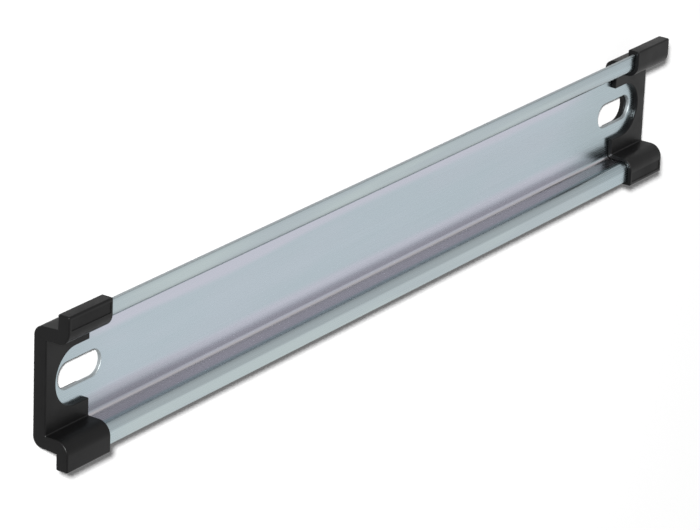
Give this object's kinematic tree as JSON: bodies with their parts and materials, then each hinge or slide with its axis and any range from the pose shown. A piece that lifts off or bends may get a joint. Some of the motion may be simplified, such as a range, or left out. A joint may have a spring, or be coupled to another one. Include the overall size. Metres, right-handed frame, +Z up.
{
  "type": "din rail",
  "caption": "Zinc-plated steel top-hat mounting rail, 35 mm by 7.5 mm, slotted at the ends, with black moulded push-on end caps notched round the slots.",
  "frame": {"origin": "on the floor below the middle of the rail, at the centre of the bounding box's underside; the floor is the plane of the end caps' backs", "axes": "+X along the rail to the right cap, +Y across the rail's width, +Z up out of its open side, towards the devices it carries"},
  "size_m": [0.2524, 0.0374, 0.0099],
  "materials": {
    "zinc_plated_steel": "zinc plated, blue passivated, satin",
    "black_plastic": "injection moulded, fine satin"
  },
  "bodies": {
    "root": {"rail": "zinc_plated_steel", "end_cap_left": "black_plastic", "end_cap_right": "black_plastic"}
  },
  "joints": []
}
